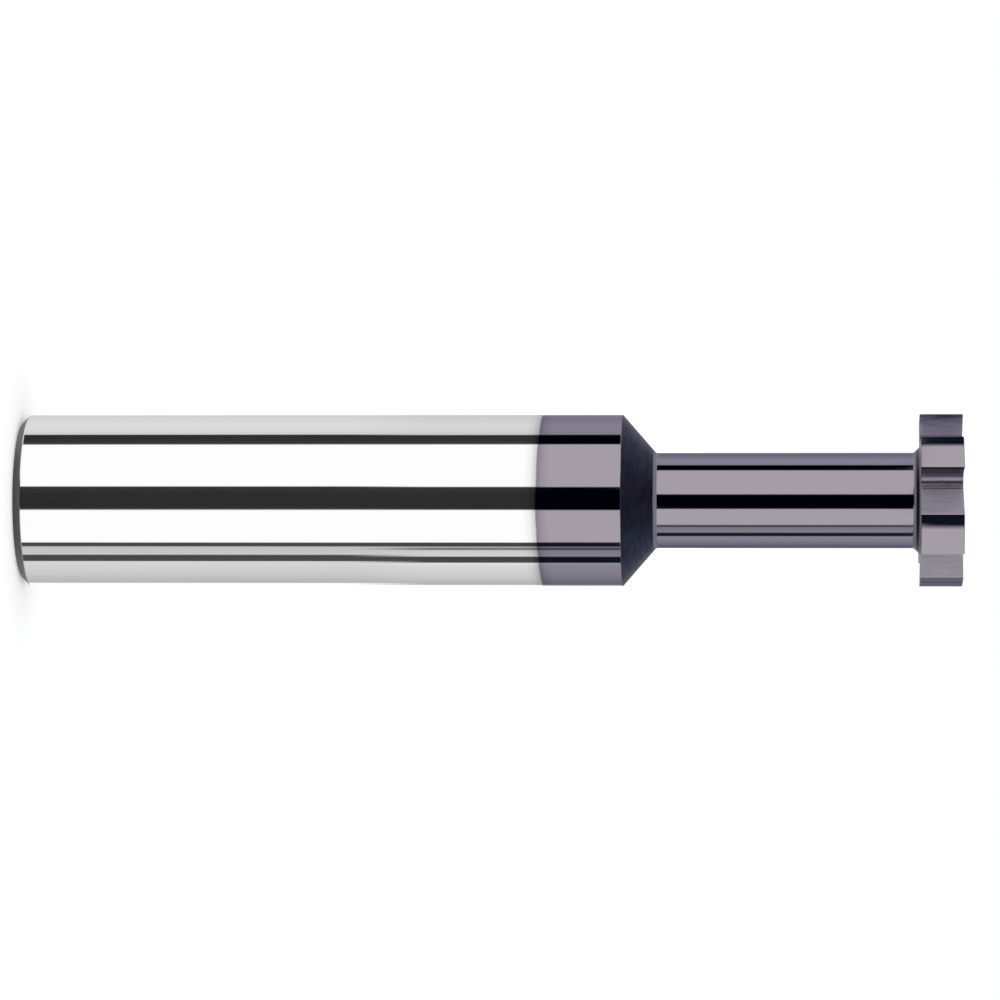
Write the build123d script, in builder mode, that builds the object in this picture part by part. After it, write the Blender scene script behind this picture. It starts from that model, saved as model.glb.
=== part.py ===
from build123d import *

# Woodruff keyseat cutter in solid carbide, in millimetres.
# It stands on its shank end: the tool axis is Z, the shank end is at Z = 0
# and the cutter head is at the top. It is ground from one rod, so it is one solid.

import math
import os

# Overall sizes
overall_length = 69.85
shank_diameter = 12.7
shank_length = 44.78
neck_diameter = 7.05
cutter_diameter = 12.85
cutter_width = 3.175

# Shank details
back_chamfer = 0.6
cone_half_angle = 49.0
shoulder_radius = 0.25

# Hub flare, a short cone that widens the neck under the cutter head
hub_diameter = 8.0
hub_flare_length = 0.48

# The round that the neck wheel leaves at both ends of the neck
neck_root_radius = 0.2

# Side faces of the head, ground slightly hollow so that only the rim cuts
side_relief_angle = 1.0
front_relief_angle = 1.5
front_flat_diameter = 4.0

# Teeth, cutting counter-clockwise as seen from the head end
tooth_count = 6
first_tooth_angle = 67.7
rake_angle = 7.0
gullet_radius = 0.7
gullet_clearance = 0.1
primary_relief = 16.5
primary_land = 2.15
secondary_relief = 29.2
secondary_land = 0.93

# How far a grinding cut runs past the head, and past its rim
overrun = 0.3

shank_radius = shank_diameter / 2
neck_radius = neck_diameter / 2
hub_radius = hub_diameter / 2
cutter_radius = cutter_diameter / 2
front_flat_radius = front_flat_diameter / 2
head_back = overall_length - cutter_width
cone_length = (shank_radius - neck_radius) / math.tan(math.radians(cone_half_angle))
neck_start = shank_length + cone_length
side_relief = (cutter_radius - hub_radius) * math.tan(math.radians(side_relief_angle))
front_relief = (cutter_radius - front_flat_radius) * math.tan(math.radians(front_relief_angle))
hub_end = head_back + side_relief
hub_start = hub_end - hub_flare_length


def turned(point, degrees):
    """The point turned about the tool axis."""
    return Vector(point).rotate(Axis.Z, degrees)


def relieved(start, relief, length):
    """The far end of a flat land that starts behind the tip and falls away from its tangent."""
    lean = math.radians(relief)
    return start - Vector(math.sin(lean), math.cos(lean)) * length


# One tooth, seen from the head end, with its tip on the X axis and its body clockwise of it
tip = Vector(cutter_radius, 0)
land_edge = relieved(tip, primary_relief, primary_land)
heel = relieved(land_edge, secondary_relief, secondary_land)

# The gullet ahead of the tip: a flat rake face, a round root and a flat flank
rake = math.radians(rake_angle)
rake_line = Vector(-math.cos(rake), -math.sin(rake))
gullet_side = Vector(-math.sin(rake), math.cos(rake))
root_reach = hub_radius + gullet_clearance + gullet_radius
axis_offset = gullet_radius - cutter_radius * math.sin(rake)
rake_length = cutter_radius * math.cos(rake) - math.sqrt(root_reach**2 - axis_offset**2)
rake_foot = tip + rake_line * rake_length
gullet_centre = rake_foot + gullet_side * gullet_radius

pitch = 360 / tooth_count
next_tip = turned(tip, pitch)
next_land_edge = turned(land_edge, pitch)
next_heel = turned(heel, pitch)

# The flank runs from the next heel and meets the gullet's round as a tangent
to_heel = next_heel - gullet_centre
flank_turn = math.degrees(math.acos(gullet_radius / to_heel.length))
flank_foot = gullet_centre + turned(to_heel.normalized(), flank_turn) * gullet_radius

# Points outside the rim, where a cut has left the metal
clear_radius = cutter_radius + overrun
outside_tip = tip.normalized() * clear_radius
outside_heel = next_heel.normalized() * clear_radius
outside_next_tip = next_tip.normalized() * clear_radius

# What the flute wheel takes out between one rake face and the next heel
with BuildSketch() as flute:
    with BuildLine():
        Polyline(outside_tip, tip, rake_foot)
        RadiusArc(rake_foot, flank_foot, gullet_radius)
        Polyline(flank_foot, next_heel, outside_heel)
        RadiusArc(outside_tip, outside_heel, -clear_radius)
    make_face()

# What the relief wheel takes off behind the next tip
with BuildSketch() as relief:
    with BuildLine():
        Polyline(outside_heel, next_heel, next_land_edge, next_tip, outside_next_tip)
        RadiusArc(outside_heel, outside_next_tip, -clear_radius)
    make_face()

with BuildPart() as keyseat_cutter:
    # Shank, cone, neck, hub flare and head blank, turned in one profile
    with BuildSketch(Plane.XZ):
        with BuildLine():
            Polyline(
                (neck_radius, hub_start),
                (neck_radius, neck_start),
                (shank_radius, shank_length),
                (shank_radius, back_chamfer),
                (shank_radius - back_chamfer, 0),
                (0, 0),
                (0, overall_length - front_relief),
                (front_flat_radius, overall_length - front_relief),
                (cutter_radius, overall_length),
                (cutter_radius, head_back),
                (hub_radius, hub_end),
                close=True,
            )
        make_face()
    revolve(axis=Axis.Z)

    # The shoulder's broken corner, and the rounds at the neck's ends
    circles = keyseat_cutter.edges().filter_by(GeomType.CIRCLE)
    fillet(circles.filter_by_position(Axis.Z, shank_length, shank_length), shoulder_radius)
    circles = keyseat_cutter.edges().filter_by(GeomType.CIRCLE)
    neck_ends = circles.filter_by_position(Axis.Z, neck_start, hub_start)
    fillet(neck_ends, neck_root_radius)

    # Flutes and reliefs, ground along the tool axis through the head only
    with BuildSketch(Plane.XY.offset(head_back - overrun)):
        with PolarLocations(0, tooth_count, start_angle=first_tooth_angle):
            add(flute.sketch)
    extrude(amount=cutter_width + 2 * overrun, mode=Mode.SUBTRACT)
    with BuildSketch(Plane.XY.offset(head_back - overrun)):
        with PolarLocations(0, tooth_count, start_angle=first_tooth_angle):
            add(relief.sketch)
    extrude(amount=cutter_width + 2 * overrun, mode=Mode.SUBTRACT)

keyseat_cutter.part.label = "keyseat_cutter"

os.makedirs("parts", exist_ok=True)
export_step(keyseat_cutter.part, "parts/keyseat_cutter.step")

print("teeth", tooth_count, "rake face length", round(rake_length, 3))
print("volume mm3", round(keyseat_cutter.part.volume, 1))
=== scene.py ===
# %% [markdown]
# # A woodruff keyseat cutter
#
# The tool is ground from one rod of cemented carbide: a plain round shank, a cone, a thin neck and
# a narrow disc with six teeth. The front part has a violet-grey coating a few micrometres thick.
# The CAD model gives the size and the place of everything. This lesson models the same tool again
# as one clean mesh, because its mirror finish shows every facet of a coarse one.

import math

import bmesh
import bpy
from mathutils import Matrix, Vector


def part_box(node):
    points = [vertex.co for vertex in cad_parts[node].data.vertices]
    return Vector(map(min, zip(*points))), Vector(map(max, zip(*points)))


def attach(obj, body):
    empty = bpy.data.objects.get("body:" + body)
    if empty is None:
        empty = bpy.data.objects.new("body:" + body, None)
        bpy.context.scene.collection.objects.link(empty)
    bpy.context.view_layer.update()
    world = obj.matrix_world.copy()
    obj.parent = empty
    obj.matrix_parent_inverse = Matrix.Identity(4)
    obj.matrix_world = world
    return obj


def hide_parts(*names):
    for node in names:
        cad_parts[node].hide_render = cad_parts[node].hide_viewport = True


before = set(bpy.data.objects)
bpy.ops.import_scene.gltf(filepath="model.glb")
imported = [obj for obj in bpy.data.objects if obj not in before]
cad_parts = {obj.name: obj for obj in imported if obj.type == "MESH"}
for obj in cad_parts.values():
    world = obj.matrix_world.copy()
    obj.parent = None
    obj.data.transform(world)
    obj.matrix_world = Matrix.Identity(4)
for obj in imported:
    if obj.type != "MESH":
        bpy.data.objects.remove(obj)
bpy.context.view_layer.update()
cad_low, cad_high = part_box("keyseat_cutter")
millimetres_per_metre = 1000
cad_corners = [round(millimetres_per_metre * value, 2) for value in (*cad_low, *cad_high)]
print("CAD box in mm", cad_corners)

# %% [markdown]
# ## Sizes
#
# These are the tool's driving sizes in millimetres. The mesh is modelled with one unit for a
# millimetre, because several edit tools work with fixed tolerances that are too coarse for metres.
# It is brought to metres when it is finished.

# %% Driving sizes
overall_length = millimetres_per_metre * cad_high.z
shank_radius = 6.35
shank_length = 44.78
neck_radius = 3.525
cutter_radius = 6.425
cutter_width = 3.175
head_back = overall_length - cutter_width

back_chamfer = 0.6
cone_half_angle = math.radians(49.0)
hub_radius = 4.0
flare_length = 0.48
front_flat_radius = 2.0
side_relief_angle = math.radians(1.0)
front_relief_angle = math.radians(1.5)
side_relief = (cutter_radius - hub_radius) * math.tan(side_relief_angle)
front_relief = (cutter_radius - front_flat_radius) * math.tan(front_relief_angle)
print("overall length", round(overall_length, 3), "head starts at", round(head_back, 3))

# %% [markdown]
# ## Working by hand, in code
#
# Every edit tool acts on what is selected, so each step needs a clean selection. One helper clears
# the objects and another picks vertices, edges or faces by the place of their corners. That takes
# the part of clicking on them in the window.

# %% Selecting
def deselect_all():
    """Clears the selection, so that the next step acts only on what it adds or picks."""
    bpy.ops.object.select_all(action="DESELECT")


def pick(piece, kind, wanted):
    """In edit mode, selects just the elements of that kind whose corners all pass the test."""
    bpy.ops.mesh.select_mode(type=kind)
    bpy.ops.mesh.select_all(action="DESELECT")
    mesh = bmesh.from_edit_mesh(piece.data)
    elements = {"VERT": mesh.verts, "EDGE": mesh.edges, "FACE": mesh.faces}[kind]
    picked = 0
    for element in elements:
        corners = [element.co] if kind == "VERT" else [vertex.co for vertex in element.verts]
        if all(wanted(corner) for corner in corners):
            element.select_set(True)
            picked += 1
    mesh.select_flush_mode()
    bmesh.update_edit_mesh(piece.data)
    return picked


def near(value, target, reach=0.005):
    """True where two measures in millimetres agree."""
    return abs(value - target) < reach


# %% [markdown]
# ## Shank, cone and neck
#
# These are turned forms, so they could be one outline spun round the axis. Extruding a circle
# upwards ring by ring gives the same mesh and keeps each step readable: extrude by a height, then
# resize the new ring to its radius. 192 sides keep the mirror stripes straight.

# %% Rings of the turned body
sides = 192
neck_start = shank_length + (shank_radius - neck_radius) / math.tan(cone_half_angle)
hub_end = head_back + side_relief
flare_start = hub_end - flare_length

# The cone's scratches end at this height, and above it the neck wheel has left the foot dull
cone_finish_end = 47.05
cone_finish_radius = neck_radius + (neck_start - cone_finish_end) * math.tan(cone_half_angle)

# A ring of painted shade runs round the flare, between these two distances from its start
shade_line_shifts = (0.14, 0.37)
shade_line_heights = [flare_start + shift for shift in shade_line_shifts]
flare_slope = (hub_radius - neck_radius) / flare_length
shade_line_radii = [neck_radius + (height - flare_start) * flare_slope for height in shade_line_heights]

stations = [
    (shank_radius, back_chamfer),
    (shank_radius, shank_length),
    (cone_finish_radius, cone_finish_end),
    (neck_radius, neck_start),
    (neck_radius, flare_start),
    *zip(shade_line_radii, shade_line_heights),
    (hub_radius, hub_end),
]
print("neck from", round(neck_start, 3), "to", round(flare_start, 3))

# %% Extruding the body
deselect_all()
end_radius = shank_radius - back_chamfer
bpy.ops.mesh.primitive_circle_add(
    vertices=sides, radius=end_radius, fill_type="NGON", location=(0, 0, 0)
)
body = bpy.context.object
body.name = "turned_body"

bpy.ops.object.mode_set(mode="EDIT")
radius, height = end_radius, 0.0
for next_radius, next_height in stations:
    bpy.ops.mesh.extrude_region_move(TRANSFORM_OT_translate={"value": (0, 0, next_height - height)})
    growth = next_radius / radius
    bpy.ops.transform.resize(value=(growth, growth, 1))
    radius, height = next_radius, next_height

# The last ring stays open, because the head's back face starts from it
bpy.ops.mesh.delete(type="ONLY_FACE")
print("body rings", len(stations) + 1, "top ring at", round(height, 3), "radius", round(radius, 3))

# %% [markdown]
# ## Rounded edges of the body
#
# No ground edge is perfectly sharp. The corners of the shank's end and of the shoulder are broken,
# and the wheel that ground the neck left a small round at both its ends. Bevel does this: its width
# is measured along the faces, so a round of a given radius needs the length of its tangent.

# %% Bevelling rings
def round_ring(piece, ring_radius, ring_height, width, segments):
    """Bevels the ring of edges at that radius and height."""
    edges = pick(
        piece,
        "EDGE",
        lambda corner: near(corner.z, ring_height) and near(corner.xy.length, ring_radius),
    )
    bpy.ops.mesh.bevel(
        offset_type="OFFSET", offset=width, segments=segments, profile=0.5, affect="EDGES"
    )
    print("bevelled ring at", round(ring_height, 2), "edges", edges)


# The photograph's shoulder is almost sharp, so this round is about half the size of the CAD model's
shoulder_radius = 0.12
neck_root_radius = 0.2
round_segments = 6
end_edge_width = 0.06
end_edge_segments = 5

cone_tangent = math.tan(cone_half_angle / 2)
flare_tangent = math.tan(math.atan2(hub_radius - neck_radius, flare_length) / 2)
neck_root_width = neck_root_radius * cone_tangent
round_ring(body, shank_radius, shank_length, shoulder_radius * cone_tangent, round_segments)
round_ring(body, neck_radius, neck_start, neck_root_width, round_segments)
round_ring(body, neck_radius, flare_start, neck_root_radius * flare_tangent, round_segments)
round_ring(body, shank_radius, back_chamfer, end_edge_width, end_edge_segments)
round_ring(body, end_radius, 0.0, end_edge_width, end_edge_segments)
bpy.ops.object.mode_set(mode="OBJECT")

# %% [markdown]
# ## The outline of one tooth
#
# Seen from the head end, a tooth has a flat rake face that leans under its cutting tip, a round
# gullet in front of it, and behind the tip two flat lands that fall away so that they don't rub.
# The plan is drawn for the tooth whose tip lies on the X axis, with the same formulas as a
# grinder's setup sheet: relief angles for the lands, a rake angle, and a wheel radius for the
# gullet.

# %% Points of a tooth
tooth_count = 6
pitch = 2 * math.pi / tooth_count
first_tooth_angle = math.radians(67.7)
rake_angle = math.radians(7.0)
gullet_radius = 0.7
gullet_clearance = 0.1
primary_relief, primary_land = math.radians(16.5), 2.15
secondary_relief, secondary_land = math.radians(29.2), 0.93


def turned(point, angle):
    """The point turned counter-clockwise about the tool axis."""
    return Matrix.Rotation(angle, 3, "Z") @ point


def relieved(start, relief, length):
    """The far end of a flat land that starts behind the tip and falls away from its tangent."""
    return start - Vector((math.sin(relief), math.cos(relief), 0)) * length


tip = Vector((cutter_radius, 0, 0))
land_edge = relieved(tip, primary_relief, primary_land)
heel = relieved(land_edge, secondary_relief, secondary_land)

# The rake face runs inwards until the gullet's round, which just clears the hub, takes over
rake_line = Vector((-math.cos(rake_angle), -math.sin(rake_angle), 0))
gullet_side = Vector((-math.sin(rake_angle), math.cos(rake_angle), 0))
root_reach = hub_radius + gullet_clearance + gullet_radius
axis_offset = gullet_radius - cutter_radius * math.sin(rake_angle)
rake_length = cutter_radius * math.cos(rake_angle) - math.sqrt(root_reach**2 - axis_offset**2)
rake_foot = tip + rake_line * rake_length
gullet_centre = rake_foot + gullet_side * gullet_radius

# The flank leaves the round as its tangent and ends at the next tooth's heel
next_tip, next_land_edge, next_heel = (turned(point, pitch) for point in (tip, land_edge, heel))
to_heel = next_heel - gullet_centre
flank_turn = math.acos(gullet_radius / to_heel.length)
flank_foot = gullet_centre + turned(to_heel.normalized(), flank_turn) * gullet_radius
flank_length = (next_heel - flank_foot).length
print("rake face", round(rake_length, 3), "mm long, flank", round(flank_length, 3), "mm")

# %% [markdown]
# ## Drawing the outline and repeating it
#
# One vertex is enough to start: a plane whose corners are merged. It is extruded along the rake
# face, spun round the gullet's centre, and extruded to the heel, the land's edge and the next tip.
# Spin then also repeats the finished pitch round the axis, with its duplicate option.

# %% The outline
rim_break = 0.03
gullet_steps = 18

# Vertices that lie closer than this are one point drawn twice
merge_distance = 0.002


def to_outline(point):
    """The point of the drawn tooth at the first tooth's real angle, just above the head's back."""
    return turned(point, first_tooth_angle) + Vector((0, 0, head_back + rim_break))


def extrude_to(start, end):
    """Extrudes the selected vertex along a straight line."""
    path = to_outline(end) - to_outline(start)
    bpy.ops.mesh.extrude_vertices_move(TRANSFORM_OT_translate={"value": path})


deselect_all()
bpy.ops.mesh.primitive_plane_add(size=1, location=to_outline(tip))
head = bpy.context.object
head.name = "cutter_head"
bpy.ops.object.mode_set(mode="EDIT")
bpy.ops.mesh.merge(type="CENTER")
bpy.ops.object.mode_set(mode="OBJECT")
bpy.ops.object.transform_apply(location=True, rotation=False, scale=False)
bpy.ops.object.mode_set(mode="EDIT")
bpy.ops.mesh.select_all(action="SELECT")

# Spin turns clockwise about the axis it is given, which is the way round this gullet
gullet_turn = (rake_foot - gullet_centre).angle(flank_foot - gullet_centre)
spin_centre = to_outline(gullet_centre)
extrude_to(tip, rake_foot)
bpy.ops.mesh.spin(steps=gullet_steps, angle=gullet_turn, center=spin_centre, axis=(0, 0, 1))
extrude_to(flank_foot, next_heel)
extrude_to(next_heel, next_land_edge)
extrude_to(next_land_edge, next_tip)
bpy.ops.mesh.select_all(action="SELECT")
bpy.ops.mesh.spin(
    dupli=True,
    steps=tooth_count - 1,
    angle=2 * math.pi - pitch,
    center=(0, 0, 0),
    axis=(0, 0, 1),
)
bpy.ops.mesh.select_all(action="SELECT")
bpy.ops.mesh.remove_doubles(threshold=merge_distance)
outline = bmesh.from_edit_mesh(head.data)
print("outline vertices", len(outline.verts), "edges", len(outline.edges))

# %% [markdown]
# ## Edges of the teeth
#
# The cutting edge stays as sharp as it was ground, but the wheel leaves the edge between the two
# lands a little round, and the heel is broken by a few hundredths of a millimetre. Both catch the
# light along each tooth. In plan they are corners of the outline, so a bevel of single vertices,
# made before the outline gets its height, rounds all the edges that run along the axis.

# %% Breaking the corners of the outline
# Corners are picked by their distance from the axis, to this accuracy
corner_reach = 0.001


def break_corners(radius, width, segments):
    """Rounds the outline's corners that lie at that distance from the axis."""
    corners = pick(head, "VERT", lambda corner: near(corner.xy.length, radius, corner_reach))
    bpy.ops.mesh.bevel(offset_type="OFFSET", offset=width, segments=segments, affect="VERTICES")
    print("corners rounded at radius", round(radius, 3), corners)


land_edge_width, land_edge_segments = 0.30, 6
heel_width, heel_segments = 0.05, 3
break_corners(land_edge.length, land_edge_width, land_edge_segments)
break_corners(heel.length, heel_width, heel_segments)

# %% [markdown]
# ## Height, rims and hollow side faces
#
# Filled and extruded, the outline becomes a disc with straight teeth. An inset that also moves
# outwards breaks the rim on each side. The two side faces aren't flat: they are ground hollow by a
# degree or so, so that only the rim touches the work. Each one is filled between the outline and an
# inner circle while it is still flat. Then the circle is pushed into the disc with proportional
# editing, whose linear falloff makes exactly the shallow cone that the grinder makes.

# %% The disc
wall_height = cutter_width - 2 * rim_break
bpy.ops.mesh.select_all(action="SELECT")
bpy.ops.mesh.edge_face_add()
bpy.ops.mesh.extrude_region_move(TRANSFORM_OT_translate={"value": (0, 0, wall_height)})
bpy.ops.mesh.select_all(action="SELECT")
bpy.ops.mesh.normals_make_consistent(inside=False)


def open_side(height):
    """Breaks the rim of the side face at that height and leaves the face open inside the break."""
    pick(head, "FACE", lambda corner: near(corner.z, height))
    bpy.ops.mesh.inset(thickness=rim_break, depth=rim_break, use_even_offset=True)
    bpy.ops.mesh.delete(type="ONLY_FACE")


open_side(head_back + rim_break)
open_side(overall_length - rim_break)


# %% Closing and hollowing the side faces
front_flat_sides = 96
head_middle = head_back + cutter_width / 2


def hollow_side(height, inner_radius, inner_sides, push, closed):
    """Fills the side face down to an inner circle and pushes that circle along the axis."""
    fill_type = "NGON" if closed else "NOTHING"
    bpy.ops.mesh.select_all(action="DESELECT")
    bpy.ops.mesh.primitive_circle_add(
        vertices=inner_sides, radius=inner_radius, fill_type=fill_type, location=(0, 0, height)
    )
    pick(head, "EDGE", lambda corner: near(corner.z, height))
    bpy.ops.mesh.fill(use_beauty=True)

    # Only this side of the disc follows the circle
    pick(head, "VERT", lambda corner: (corner.z - head_middle) * (height - head_middle) < 0)
    bpy.ops.mesh.hide(unselected=False)
    circle_reach = inner_radius + 0.01
    pick(head, "VERT", lambda corner: near(corner.z, height) and corner.xy.length < circle_reach)
    bpy.ops.transform.translate(
        value=(0, 0, push),
        use_proportional_edit=True,
        proportional_edit_falloff="LINEAR",
        proportional_size=cutter_radius - inner_radius,
    )
    bpy.ops.mesh.reveal(select=False)


hollow_side(overall_length, front_flat_radius, front_flat_sides, -front_relief, closed=True)
hollow_side(head_back, hub_radius, sides, side_relief, closed=False)
disc = bmesh.from_edit_mesh(head.data)
front_heights = [vertex.co.z for vertex in disc.verts if vertex.co.z > head_middle]
hollow = max(front_heights) - min(front_heights)
print("front face hollow by", round(hollow, 3), "faces", len(disc.faces))
bpy.ops.object.mode_set(mode="OBJECT")

# %% [markdown]
# ## One closed solid
#
# The disc's inner circle on the back lies exactly on the last ring of the flare under the head.
# Joined and merged by distance, the two meshes become one closed skin, as the real tool is one
# piece. Its open edges are counted and its volume is printed, which tells at once if a face is
# missing or turned inside out.

# %% Joining and checking
deselect_all()
head.select_set(True)
body.select_set(True)
bpy.context.view_layer.objects.active = body
bpy.ops.object.join()
cutter = body
cutter.name = "ground_cutter"
cutter.data.name = "ground_cutter"

bpy.ops.object.mode_set(mode="EDIT")
bpy.ops.mesh.select_all(action="SELECT")
bpy.ops.mesh.remove_doubles(threshold=merge_distance)
bpy.ops.mesh.normals_make_consistent(inside=False)
skin = bmesh.from_edit_mesh(cutter.data)
open_edges = sum(not edge.is_manifold for edge in skin.edges)
print("open edges", open_edges, "volume", round(skin.calc_volume(signed=True), 1), "cubic mm")
bpy.ops.object.mode_set(mode="OBJECT")

# %% [markdown]
# ## Smooth turned faces, flat ground faces
#
# Smooth shading belongs on the turned faces, the gullet rounds and the edge between the lands,
# where neighbouring faces meet at a few degrees. Tips and rims meet at more, and must stay crisp.
# An angle limit between the two does both in one step. Then the mesh is brought from millimetres to
# metres. A mirror shows the least tilt of a normal as a bent stripe, so a Weighted Normal modifier
# lets the long faces decide the normals that they share with the tiny faces of the rounded edges.

# %% Shading and scale
smooth_limit = math.radians(10)
metres_per_millimetre = 1 / millimetres_per_metre
deselect_all()
cutter.select_set(True)
bpy.context.view_layer.objects.active = cutter
bpy.ops.object.shade_smooth_by_angle(angle=smooth_limit)
bpy.ops.transform.resize(value=(metres_per_millimetre,) * 3)
bpy.ops.object.transform_apply(location=False, rotation=False, scale=True)

weighted = cutter.modifiers.new("weighted_normal", "WEIGHTED_NORMAL")
weighted.mode = "FACE_AREA"
weighted.keep_sharp = True
bpy.ops.object.modifier_apply(modifier=weighted.name)
triangles = sum(len(face.vertices) - 2 for face in cutter.data.polygons)
cutter_size = [round(millimetres_per_metre * value, 2) for value in cutter.dimensions]
print("triangles", triangles, "size in mm", cutter_size)

# %% [markdown]
# ## Building materials from nodes
#
# All the finishes are metal, so they differ in colour, in gloss and in the marks that the wheels
# left. Two short helpers keep the node code readable: one adds a node with its settings and
# inputs, and one starts a metal and hands back its shader. A number that is the same all over the
# surface is set on the shader's own socket.

# %% Node helpers
def add_node(tree, kind, settings=None, **inputs):
    """Adds a node with its settings. An input is given by its name or by its place, such as i0."""
    node = tree.nodes.new(kind)
    for name, value in (settings or {}).items():
        setattr(node, name, value)
    for name, value in inputs.items():
        by_place = name[0] == "i" and name[1:].isdigit()
        socket = node.inputs[int(name[1:]) if by_place else name]
        if isinstance(value, bpy.types.NodeSocket):
            tree.links.new(value, socket)
        else:
            socket.default_value = value
    return node


def maths(tree, operation, first, second=0.0, third=0.0):
    """The result of a Math node."""
    node = add_node(tree, "ShaderNodeMath", {"operation": operation}, i0=first, i1=second, i2=third)
    return node.outputs[0]


def remap(tree, value, low, high, new_low, new_high, smooth=False):
    """The value moved from one range to another, and held at the ends."""
    settings = {"interpolation_type": "SMOOTHSTEP" if smooth else "LINEAR"}
    node = add_node(
        tree,
        "ShaderNodeMapRange",
        settings,
        Value=value,
        **{"From Min": low, "From Max": high, "To Min": new_low, "To Max": new_high},
    )
    return node.outputs[0]


def ramp(tree, value, stops):
    """A colour ramp with stops of (place, colour)."""
    node = add_node(tree, "ShaderNodeValToRGB", Fac=value)
    elements = node.color_ramp.elements
    elements.remove(elements[1])
    elements[0].position = stops[0][0]
    elements[0].color = (*stops[0][1], 1.0)
    for place, colour in stops[1:]:
        elements.new(place).color = (*colour, 1.0)
    return node.outputs[0]


def new_metal(name, roughness):
    """A material with one metallic shader, and the place of each surface point in metres."""
    material = bpy.data.materials.new(name)
    material.use_nodes = True
    tree = material.node_tree
    shader = tree.nodes["Principled BSDF"]
    shader.inputs["Metallic"].default_value = 1.0
    shader.inputs["Roughness"].default_value = roughness
    place = add_node(tree, "ShaderNodeTexCoord").outputs["Object"]
    return material, tree, shader, place


def streaks(tree, place, along, across, detail=3.0):
    """Noise from 0 to 1, stretched by its scales per metre along the tool and across it."""
    mapping = add_node(tree, "ShaderNodeMapping", Vector=place, Scale=(across, across, along))
    inputs = {"Vector": mapping.outputs[0], "Scale": 1.0, "Detail": detail, "Roughness": 0.6}
    return add_node(tree, "ShaderNodeTexNoise", **inputs).outputs[0]


def roughen(tree, shader, height, depth):
    """Turns a height from 0 to 1 into a bump of that depth in metres."""
    bump = add_node(tree, "ShaderNodeBump", Height=height, Strength=1.0, Distance=depth)
    tree.links.new(bump.outputs[0], shader.inputs["Normal"])


# %% [markdown]
# ## The polished finish, bare and coated
#
# The shank is centreless ground and lapped, so it is a mirror. Where it isn't coated it is the
# plain silver of carbide, with a slight haze from the polish that lifts the dark reflections. The
# coating begins short of the cone with a soft edge, and is darker and pinker where it is thinnest.
# One material does both: its colour is a ramp along the axis. The edge curves slightly, and a slow
# noise is added so that it isn't drawn with a ruler.

# %% Colours of the metal
bare_metal = (0.957, 0.957, 0.957)
coated_metal = (0.362, 0.328, 0.368)
coating_edge = 38.53

# The edge curves towards the head by this times the square of the sideways distance in metres,
# and the slow noise moves it by up to this many metres
edge_curve = 7.5
edge_wobble = 0.00003

# Places along the tool near the coating's edge, in millimetres from that edge, and their colours
edge_colours = [
    (-0.95, bare_metal),
    (-0.45, (0.86, 0.86, 0.86)),
    (-0.06, (0.62, 0.62, 0.63)),
    (0.06, (0.235, 0.205, 0.245)),
    (0.40, (0.315, 0.275, 0.320)),
    (0.95, coated_metal),
]
print("coating edge at", coating_edge, "fades over", edge_colours[-1][0] - edge_colours[0][0], "mm")

# %% The polished metal
# The coating takes over between these two shares of the way through the colours above
coating_shares = (0.45, 0.55)

# The bare polish scatters a few hundredths of the light, and the coating hides that
metallic_shares = (0.972, 1.0)

# Seen at a low angle the coating doesn't brighten as the bare metal does
low_angle_tints = [(1.0, 1.0, 1.0), (0.60, 0.593, 0.68)]

# Slow noise mostly keeps between these two values
slow_noise = (0.3, 0.7)

# Lapping leaves the mirror this smooth in some places and this dull in others
lapped_roughness = (0.02, 0.028)


def polished_metal():
    """The mirror finish of shank, neck and cutting lands."""
    material, tree, shader, place = new_metal("polished_carbide", lapped_roughness[0])
    axes = add_node(tree, "ShaderNodeSeparateXYZ", Vector=place)
    sideways = maths(tree, "MULTIPLY", axes.outputs["X"], axes.outputs["X"])
    height = maths(tree, "MULTIPLY_ADD", sideways, -edge_curve, axes.outputs["Z"])
    drift = streaks(tree, place, along=0.0, across=350.0, detail=1.0)
    wobble = remap(tree, drift, *slow_noise, -edge_wobble, edge_wobble)
    height = maths(tree, "ADD", height, wobble)

    first, last = edge_colours[0][0], edge_colours[-1][0]
    span = [(coating_edge + shift) * metres_per_millimetre for shift in (first, last)]
    along_edge = remap(tree, height, *span, 0.0, 1.0)
    stops = [((shift - first) / (last - first), colour) for shift, colour in edge_colours]
    tree.links.new(ramp(tree, along_edge, stops), shader.inputs["Base Color"])

    metallic = remap(tree, along_edge, *coating_shares, *metallic_shares)
    tree.links.new(metallic, shader.inputs["Metallic"])
    low_angle = ramp(tree, along_edge, list(zip(coating_shares, low_angle_tints)))
    tree.links.new(low_angle, shader.inputs["Specular Tint"])

    lapping = streaks(tree, place, along=160.0, across=900.0, detail=2.0)
    roughness = remap(tree, lapping, *slow_noise, *lapped_roughness)
    tree.links.new(roughness, shader.inputs["Roughness"])
    return material


# %% [markdown]
# ## Ground finishes
#
# Cone, flutes and side faces come straight from the grinding wheel and are coated as they are. A
# wheel leaves fine scratches in the direction that it runs: round the axis on the cone and the
# chamfer, along the axis in the flutes, and in rings on the side faces. Noise stretched that way
# makes them, once as a slight change of colour and once as a bump of about half a micrometre. For
# rings the noise is read by the distance from the axis. Flanks, side faces, chamfer, flare and the
# foot of the cone are duller, because their scratches cross and scatter part of the light as a matt
# surface does. A lower metallic share stands for that. The rake faces' colour holds painted shade,
# which darkens them towards the cutting edge.

# %% Ground metals
# The noise of the scratches mostly keeps between these two values
scratch_noise = (0.25, 0.75)

# How deep most scratches are, and those of the cone's and the rake faces' wheels, in metres
ground_depth, cone_depth, rake_depth = 0.0000005, 0.0000008, 0.0000006


def distance_from_axis(tree, axes):
    """How far a surface point lies from the tool axis, in metres."""
    across = [axes.outputs["X"], axes.outputs["Y"]]
    squares = [maths(tree, "MULTIPLY", distance, distance) for distance in across]
    return maths(tree, "SQRT", maths(tree, "ADD", *squares))


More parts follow.
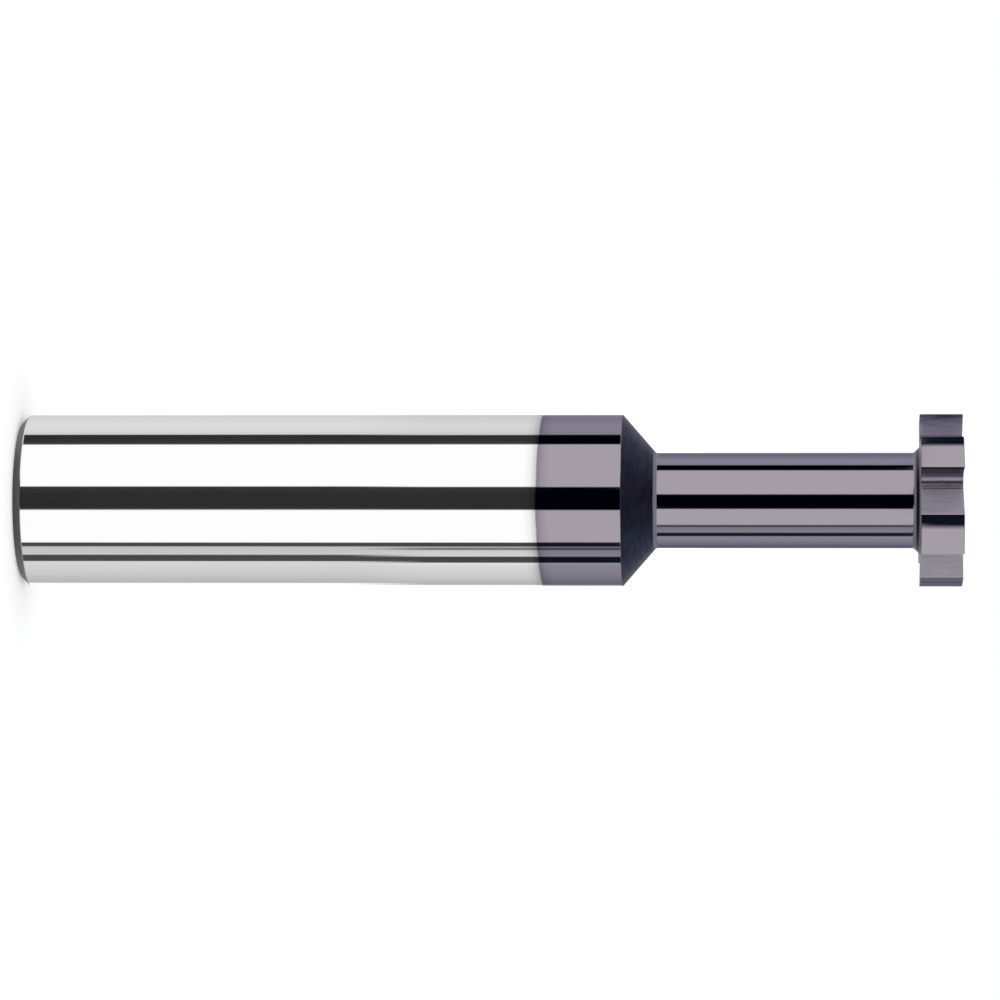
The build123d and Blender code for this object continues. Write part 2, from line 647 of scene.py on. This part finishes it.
def ground_metal(
    name,
    colour,
    roughness,
    along,
    across,
    contrast,
    depth=ground_depth,
    metallic=1.0,
    tint=(1.0, 1.0, 1.0),
    rings=False,
):
    """A ground face with scratches. The two scales are per metre, along and across the tool."""
    material, tree, shader, place = new_metal(name, roughness)
    shader.inputs["Metallic"].default_value = metallic
    shader.inputs["Specular Tint"].default_value = (*tint, 1.0)
    if rings:
        axes = add_node(tree, "ShaderNodeSeparateXYZ", Vector=place)
        reach = distance_from_axis(tree, axes)
        place = add_node(tree, "ShaderNodeCombineXYZ", X=reach, Z=axes.outputs["X"]).outputs[0]
    scratches = streaks(tree, place, along, across)
    dark = tuple(channel * (1 - contrast) for channel in colour)
    bright = tuple(channel * (1 + contrast) for channel in colour)
    spread = remap(tree, scratches, *scratch_noise, 0.0, 1.0)
    tree.links.new(ramp(tree, spread, [(0.0, dark), (1.0, bright)]), shader.inputs["Base Color"])
    roughen(tree, shader, scratches, depth)
    return material


# %% The rake faces' metal
# Painted shade darkens the rake faces from this distance from the axis, in millimetres, out to the
# rim. The scratches shift the colours by up to this share of that way.
rake_shade_start = 4.9
rake_unevenness = 0.22

# Shares of that way, and the colours of the painted shade that stand there
rake_shade_colours = [
    (0.0, (0.60, 0.57, 0.68)),
    (0.45, (0.45, 0.43, 0.53)),
    (0.75, (0.22, 0.22, 0.28)),
    (1.0, (0.080, 0.082, 0.120)),
]


def shaded_rake_metal():
    """The rake faces, with painted shade that darkens them towards the cutting edge."""
    material, tree, shader, place = new_metal("rake_painted_shade", 0.26)
    shader.inputs["Specular Tint"].default_value = (0.30, 0.30, 0.33, 1.0)
    reach = distance_from_axis(tree, add_node(tree, "ShaderNodeSeparateXYZ", Vector=place))
    span = [distance * metres_per_millimetre for distance in (rake_shade_start, cutter_radius)]
    # The colour darkens with the distance from the axis: painted shade towards the cutting edge
    shade_towards_edge = remap(tree, reach, *span, 0.0, 1.0)
    scratches = streaks(tree, place, along=500.0, across=5000.0)
    uneven = remap(tree, scratches, *scratch_noise, -rake_unevenness, rake_unevenness)
    mixed = maths(tree, "ADD", shade_towards_edge, uneven)
    tree.links.new(ramp(tree, mixed, rake_shade_colours), shader.inputs["Base Color"])
    roughen(tree, shader, scratches, rake_depth)
    return material


# %% The finishes
polished = polished_metal()
cone_ground = ground_metal(
    "cone_ground",
    (0.19, 0.19, 0.235),
    roughness=0.28,
    along=6500.0,
    across=900.0,
    contrast=0.42,
    depth=cone_depth,
    tint=(0.7, 0.7, 0.75),
)
# A dark finish that paints shade in a ring round the flare under the head
flare_shade_line = ground_metal(
    "flare_shade_line", (0.07, 0.07, 0.09), roughness=0.28, along=4500.0, across=400.0, contrast=0.30
)
run_out = ground_metal(
    "run_out",
    (0.25, 0.23, 0.27),
    roughness=0.50,
    along=9000.0,
    across=500.0,
    contrast=0.15,
    metallic=0.3,
)
flute_ground = ground_metal(
    "flute_ground", (0.390, 0.358, 0.425), roughness=0.27, along=500.0, across=6000.0, contrast=0.16
)
flank_ground = ground_metal(
    "flank_ground",
    (0.37, 0.34, 0.395),
    roughness=0.30,
    along=500.0,
    across=6000.0,
    contrast=0.16,
    metallic=0.35,
)
side_ground = ground_metal(
    "side_ground",
    (0.36, 0.33, 0.39),
    roughness=0.30,
    along=300.0,
    across=9000.0,
    contrast=0.20,
    metallic=0.4,
    rings=True,
)
chamfer_ground = ground_metal(
    "chamfer_ground",
    (0.24, 0.24, 0.245),
    roughness=0.35,
    along=5000.0,
    across=700.0,
    contrast=0.15,
    metallic=0.5,
)
end_ground = ground_metal(
    "end_ground", (0.86, 0.86, 0.86), roughness=0.22, along=5000.0, across=700.0, contrast=0.12
)
# The rake faces' finish carries painted shade that darkens it towards the cutting edge
rake_painted_shade = shaded_rake_metal()
finishes = [polished, cone_ground, flare_shade_line, run_out, flute_ground, flank_ground, rake_painted_shade]
finishes += [side_ground, chamfer_ground, end_ground]
print("finishes", [material.name for material in finishes])

# %% [markdown]
# ## Giving each face its finish
#
# A face's finish follows from its place: its height tells the shank's end, the cone, its foot, the
# flare and the head apart. In the head, side faces look along the axis, and the walls are told
# apart by how far out their middle lies: lands at the rim, then rake faces, then flanks, and the
# gullets nearest the hub.

# %% Finishes by place
# How far out the middles of lands, rake faces and flanks lie at least
land_reach = 5.9
rake_reach = 5.35
flank_reach = 5.0

# The cone's finish starts on the shoulder's round, and the dull foot ends on the neck's
cone_finish_start = shank_length - 0.02
run_out_end = neck_start + neck_root_width

# A side face's normal has at least this share along the axis
side_lean = 0.9


def finish_of(face):
    """The finish of a face, from its centre and its normal."""
    height = face.center.z / metres_per_millimetre
    reach = face.center.xy.length / metres_per_millimetre
    if height < back_chamfer:
        return end_ground if reach < end_radius - end_edge_width else chamfer_ground
    if cone_finish_start < height < cone_finish_end:
        return cone_ground
    if cone_finish_end < height < run_out_end:
        return run_out
    if flare_start < height < hub_end and reach < hub_radius:
        # The flare carries a ring of painted shade between the two heights, and the dull finish on
        # either side
        return flare_shade_line if shade_line_heights[0] < height < shade_line_heights[1] else run_out
    if height < head_back:
        return polished
    if abs(face.normal.z) > side_lean:
        return side_ground
    if reach > land_reach:
        return polished
    if reach > rake_reach:
        return rake_painted_shade
    return flank_ground if reach > flank_reach else flute_ground


for material in finishes:
    cutter.data.materials.append(material)
counts = {material.name: 0 for material in finishes}
for face in cutter.data.polygons:
    finish = finish_of(face)
    face.material_index = finishes.index(finish)
    counts[finish.name] += 1
print("faces of each finish", counts)

# %% [markdown]
# ## The camera
#
# The tool stands on its shank end, and the photograph shows it lying, with the head on the right.
# So the camera is rolled by a quarter turn: its right is the tool's up. It stands level with the
# neck and looks back a little along the tool, which gives the round ends their slight bulge. Its
# place was fitted to the photograph's corners and edges. The tool's axis lies half a pixel below
# the middle of the frame.

# %% Camera
frame_width = 1000
pixels_per_millimetre = 13.487
axis_drop = 0.5 / pixels_per_millimetre
camera_distance = 400.0
camera_height = 57.36
aim_height = 35.617
sensor_width = 36.0
nearest_seen = 0.01

position = Vector((-axis_drop, -camera_distance, camera_height)) * metres_per_millimetre
aim = Vector((-axis_drop, 0, aim_height)) * metres_per_millimetre
forward = (aim - position).normalized()
photo_up = Vector((-1, 0, 0))
photo_right = forward.cross(photo_up)

lens = bpy.data.cameras.new("studio_camera")
lens.sensor_width = sensor_width
lens.lens = camera_distance * pixels_per_millimetre / frame_width * sensor_width
lens.clip_start = nearest_seen
camera = bpy.data.objects.new("studio_camera", lens)
bpy.context.scene.collection.objects.link(camera)
camera_axes = Matrix((photo_right, photo_up, -forward)).transposed()
camera.matrix_world = Matrix.Translation(position) @ camera_axes.to_4x4()
bpy.context.scene.camera = camera
bpy.context.scene.view_settings.view_transform = "Standard"
print("lens", round(lens.lens, 1), "mm, camera height", round(camera_height, 1), "mm")

# %% [markdown]
# ## The floor
#
# The tool stands on a wide, plain floor of pale paper. A faint glow that only the camera sees makes
# it white, and it still takes the soft shadow round the shank's end. Mirrors don't see it, so that
# the stripes on the shank run down to the end as they do in the photograph.

# %% Floor
floor_width = 6.0
floor_glow = 0.32
paper_colour = (0.8, 0.8, 0.8, 1.0)

deselect_all()
bpy.ops.mesh.primitive_plane_add(size=floor_width, location=(0, 0, 0))
floor = bpy.context.object
floor.name = "floor"
floor.visible_glossy = False
paper = bpy.data.materials.new("white_paper")
paper.use_nodes = True
tree = paper.node_tree
tree.nodes.clear()
camera_ray = add_node(tree, "ShaderNodeLightPath").outputs["Is Camera Ray"]
glow_strength = maths(tree, "MULTIPLY", camera_ray, floor_glow)
glow = add_node(tree, "ShaderNodeEmission", Strength=glow_strength)
matt = add_node(tree, "ShaderNodeBsdfDiffuse", Color=paper_colour)
both = add_node(tree, "ShaderNodeAddShader", i0=glow.outputs[0], i1=matt.outputs[0])
add_node(tree, "ShaderNodeOutputMaterial", Surface=both.outputs[0])
floor.data.materials.append(paper)
print("floor", floor_width, "m wide, at height", round(floor.location.z, 3))

# %% [markdown]
# ## The studio
#
# A mirror shows nothing but its surroundings, so the look of this tool is made by what stands round
# it: white screens, with black and grey cards between them. On an upright cylinder each of them
# becomes a stripe. The world's shader draws them as a ramp round the azimuth, from -180 to 180
# degrees with 0 at the camera and positive towards the photograph's top. The higher a part of the
# tool, the higher the screens that it mirrors at the camera. So the screens hang in rows, one above
# the other, and each row is set for one part of the tool. Overhead and underneath it is dark.

# %% Panels of the shank
white, black = 1.03, 0.004

# Each panel starts at an azimuth and has a brightness at its start and at its end. Between a white
# screen and a black card there is often a narrow strip that is almost black
shank_end_panels = [
    (-180, white, white),
    (-149, 0.46, 0.54),
    (-128, 0.55, 0.64),
    (-108, 0.64, 0.70),
    (-90.1, 0.05, 0.04),
    (-78.4, 0.60, 0.54),
    (-64.7, 0.05, 0.03),
    (-58.5, white, white),
    (-12.4, 0.045, 0.030),
    (-10.0, black, black),
    (8.0, black, 0.016),
    (19.0, white, white),
    (81.4, 0.045, 0.012),
    (87.0, 0.010, black),
    (100.4, 0.64, 0.70),
    (109, 0.71, 0.74),
    (122, 0.74, 0.65),
    (160, 0.64, 0.62),
]

# The shank's front and its coated part share the screens that show along their outlines
lower_screens = [
    (-180, white, white),
    (-161, 0.44, 0.50),
    (-142, 0.51, 0.60),
    (-126, 0.61, 0.71),
    (-98, 0.76, 0.80),
]
upper_screens = [
    (109, 0.67, 0.70),
    (122, 0.69, 0.61),
    (158, 0.60, 0.58),
]
shank_front_panels = [
    *lower_screens,
    (-92.9, 0.05, 0.03),
    (-81.4, 0.67, 0.60),
    (-70.2, 0.13, 0.13),
    (-67.1, 0.42, 0.42),
    (-64.8, 0.04, 0.03),
    (-58.4, white, white),
    (-12.5, 0.020, 0.012),
    (-10.2, black, black),
    (7.5, black, 0.016),
    (18.3, white, white),
    (81.35, 0.045, 0.012),
    (87.0, 0.010, black),
    (99.4, 0.60, 0.66),
    *upper_screens,
]

# In the coating the two narrow dark cards look darker than in the bare metal
dim = 0.016
coated_panels = [
    *lower_screens,
    (-92.9, dim, dim),
    (-81.4, 0.66, 0.58),
    (-70.2, 0.13, 0.13),
    (-67.1, 0.42, 0.42),
    (-64.6, dim, dim),
    (-58.1, white, white),
    (-12.9, black, black),
    (18.1, white, white),
    (81.35, black, black),
    (99.7, 0.60, 0.66),
    *upper_screens,
]
shank_rows = (shank_end_panels, shank_front_panels, coated_panels)
print("panels in the shank's rows", [len(row) for row in shank_rows])

# %% Panels of the neck and the head
neck_panels = [
    (-180, 0.30, 0.30),
    (-152, 0.33, 0.46),
    (-135, 0.48, 0.62),
    (-112, 0.64, 0.70),
    (-97.0, 0.03, 0.03),
    (-84.7, 0.63, 0.52),
    (-67.2, 0.14, 0.14),
    (-61.5, white, white),
    (-20.4, black, black),
    (15.0, white, white),
    (78.1, black, black),
    (95.7, 0.61, 0.66),
    (112, 0.66, 0.48),
    (142, 0.47, 0.44),
]
land_panels = [
    (-180, 0.36, 0.27),
    (-148, 0.40, 0.42),
    (-80, 0.25, 0.45),
    (-52, white, white),
    (-31, black, black),
    (28, white, white),
    (88, black, black),
    (113, 0.55, 0.50),
    (150, 0.30, 0.30),
]
flute_panels = [
    (-180, 0.42, 0.36),
    (-130, 0.24, 0.24),
    (-78, 0.30, 0.38),
    (-55, 0.44, 0.44),
    (-14, 0.03, 0.03),
    (34, 0.85, 0.85),
    (70, 0.75, 0.78),
    (130, 0.50, 0.40),
]
head_rows = (neck_panels, land_panels, flute_panels)
print("panels in the rows of neck, lands and flutes", [len(row) for row in head_rows])


# %% One row of panels
def mix_colours(tree, share, first, second):
    """The first colour, or the second where the share is 1."""
    node = add_node(tree, "ShaderNodeMix", {"data_type": "RGBA"}, i0=share, i6=first, i7=second)
    return node.outputs[2]


def panel_row(tree, azimuth, panels, softness, grey, darks):
    """The colour of one row at an azimuth in degrees, tinted by its grey, with its own darks."""
    ends = [start for start, *levels in panels[1:]] + [180]
    own_colours = {white: (white,) * 3, **darks}
    stops = []
    for (start, first, last), end in zip(panels, ends):
        for place, level in ((start + softness / 2, first), (end - softness / 2, last)):
            tinted = tuple(level * channel for channel in grey)
            stops.append((place, own_colours.get(level, tinted)))

    # A ramp holds 32 stops at most, so the row has one for each side of the camera
    sides_of_camera = []
    for low, high in ((-180, 0), (0, 180)):
        side = [((place - low) / 180, colour) for place, colour in stops if low < place < high]
        sides_of_camera.append(ramp(tree, remap(tree, azimuth, low, high, 0.0, 1.0), side))
    return mix_colours(tree, maths(tree, "GREATER_THAN", azimuth, 0.0), *sides_of_camera)


# %% The world
world = bpy.data.worlds.new("studio")
world.use_nodes = True
bpy.context.scene.world = world

# Mirrors find the screens by themselves, so the world needn't be sampled as a lamp
world.cycles.sampling_method = "NONE"
tree = world.node_tree
tree.nodes.clear()
direction = add_node(tree, "ShaderNodeTexCoord").outputs["Generated"]
axes = add_node(tree, "ShaderNodeSeparateXYZ", Vector=direction)
towards_camera = maths(tree, "MULTIPLY", axes.outputs["Y"], -1)
towards_top = maths(tree, "MULTIPLY", axes.outputs["X"], -1)
azimuth = maths(tree, "DEGREES", maths(tree, "ARCTAN2", towards_top, towards_camera))
elevation = maths(tree, "DEGREES", maths(tree, "ARCSINE", axes.outputs["Z"]))

# %% Rows of panels
# How soft the edges of the panels in a row are, in degrees
sharp, soft, blurred = 1.3, 3.0, 12.0

# What tints the greys of a row, and the colours that stand for its darkest levels
plain_grey = (1.0, 1.0, 1.0)
coated_grey = (0.965, 0.98, 1.06)
cool_grey = (0.95, 1.0, 1.15)
plain_darks = {black: (black,) * 3}
coated_darks = {black: (0.001, 0.001, 0.008), dim: (0.014, 0.018, 0.038)}
land_darks = {black: (0.011, 0.018, 0.035)}

# Only the rough faces of the flutes see the lowest row, and they scatter it together with the
# highest, so the two are the same. Between them are the rows that the shank's end, its front, its
# coated part, the neck and the lands of the teeth mirror at the camera. A row takes over from the
# one below between its first two numbers, which are elevations in degrees.
panels = panel_row(tree, azimuth, flute_panels, blurred, plain_grey, land_darks)
upper_rows = [
    (-9.8, -9.2, shank_end_panels, sharp, plain_grey, plain_darks),
    (-4.7, -3.9, shank_front_panels, sharp, plain_grey, plain_darks),
    (-2.76, -2.69, coated_panels, sharp, coated_grey, coated_darks),
    (-1.75, -1.55, neck_panels, soft, cool_grey, coated_darks),
    (1.305, 1.335, land_panels, blurred, cool_grey, land_darks),
    (2.6, 3.2, flute_panels, blurred, plain_grey, land_darks),
]
for joint_start, joint_end, row, *look in upper_rows:
    share = remap(tree, elevation, joint_start, joint_end, 0.0, 1.0)
    panels = mix_colours(tree, share, panels, panel_row(tree, azimuth, row, *look))
print("rows of panels", len(upper_rows) + 1)

# %% Overhead, underneath and background
# Overhead the studio darkens in two steps of elevation, first to a blue grey
ceiling_start, ceiling_end, zenith_end = 8.0, 40.0, 82.0
ceiling_grey, zenith_black = (0.15, 0.18, 0.245, 1.0), (0.004, 0.006, 0.024, 1.0)
overhead = remap(tree, elevation, ceiling_start, ceiling_end, 0.0, 1.0, smooth=True)
zenith = remap(tree, elevation, ceiling_end, zenith_end, 0.0, 1.0)
ceiling = mix_colours(tree, zenith, ceiling_grey, zenith_black)
mirrored = mix_colours(tree, overhead, panels, ceiling)

# Underneath it darkens in one
underneath_start, underneath_end = -40.0, -65.0
underneath_grey = (0.09, 0.09, 0.095, 1.0)
underneath = remap(tree, elevation, underneath_start, underneath_end, 0.0, 1.0, smooth=True)
mirrored = mix_colours(tree, underneath, mirrored, underneath_grey)

# Mirrors see the panels, matt surfaces an even light, and the camera a white background
light_path = add_node(tree, "ShaderNodeLightPath")
plain_white = (1.0, 1.0, 1.0, 1.0)
seen = mix_colours(tree, light_path.outputs["Is Diffuse Ray"], mirrored, plain_white)
seen = mix_colours(tree, light_path.outputs["Is Camera Ray"], seen, plain_white)
background = add_node(tree, "ShaderNodeBackground", Color=seen, Strength=1.0)
add_node(tree, "ShaderNodeOutputWorld", Surface=background.outputs[0])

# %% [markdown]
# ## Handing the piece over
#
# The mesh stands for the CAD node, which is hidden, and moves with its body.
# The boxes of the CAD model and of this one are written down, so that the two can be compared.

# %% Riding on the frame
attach(cutter, "root")
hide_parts("keyseat_cutter")
